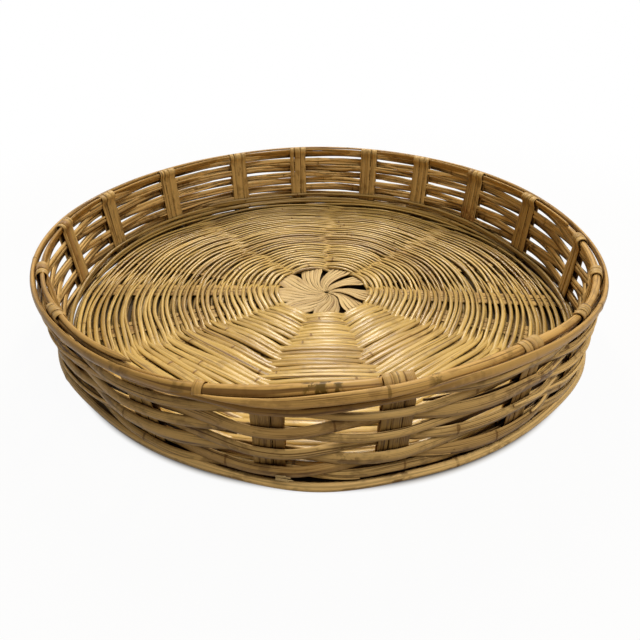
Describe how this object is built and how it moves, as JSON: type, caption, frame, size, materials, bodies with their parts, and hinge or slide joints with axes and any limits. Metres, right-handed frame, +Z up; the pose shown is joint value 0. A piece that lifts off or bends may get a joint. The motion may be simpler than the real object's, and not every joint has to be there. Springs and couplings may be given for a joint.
{
  "type": "round wicker tray",
  "caption": "Shallow round tray woven from split cane, with a pinwheel centre, a spiral floor and a low upright wall under a folded rim.",
  "frame": {"origin": "middle of the tray, on the surface it rests on", "axes": "+Z up, the tray's opening faces up; +X to the right and +Y away, as seen in the picture"},
  "size_m": [0.3598, 0.3594, 0.0613],
  "materials": {
    "stake_splint": "satin",
    "floor_cane": "satin",
    "wall_cane": "satin",
    "rim_cane": "satin"
  },
  "bodies": {
    "root": {"stake_01": "stake_splint", "stake_02": "stake_splint", "stake_03": "stake_splint", "stake_04": "stake_splint", "stake_05": "stake_splint", "stake_06": "stake_splint", "stake_07": "stake_splint", "stake_08": "stake_splint", "stake_09": "stake_splint", "stake_10": "stake_splint", "stake_11": "stake_splint", "stake_12": "stake_splint", "stake_13": "stake_splint", "stake_14": "stake_splint", "stake_15": "stake_splint", "stake_16": "stake_splint", "stake_17": "stake_splint", "stake_18": "stake_splint", "floor_strand_01": "floor_cane", "floor_strand_02": "floor_cane", "floor_strand_03": "floor_cane", "floor_strand_04": "floor_cane", "floor_strand_05": "floor_cane", "floor_strand_06": "floor_cane", "floor_strand_07": "floor_cane", "floor_strand_08": "floor_cane", "floor_strand_09": "floor_cane", "floor_strand_10": "floor_cane", "floor_strand_11": "floor_cane", "floor_strand_12": "floor_cane", "floor_strand_13": "floor_cane", "wall_row_01": "wall_cane", "wall_row_02": "wall_cane", "wall_row_03": "wall_cane", "wall_row_04": "wall_cane", "wall_row_05": "wall_cane", "wall_row_06": "wall_cane", "wall_row_07": "wall_cane", "wall_row_08": "wall_cane", "corner_strand": "floor_cane", "inner_rim_cane": "rim_cane", "outer_rim_cane": "rim_cane", "foot_cane": "wall_cane"}
  },
  "joints": []
}
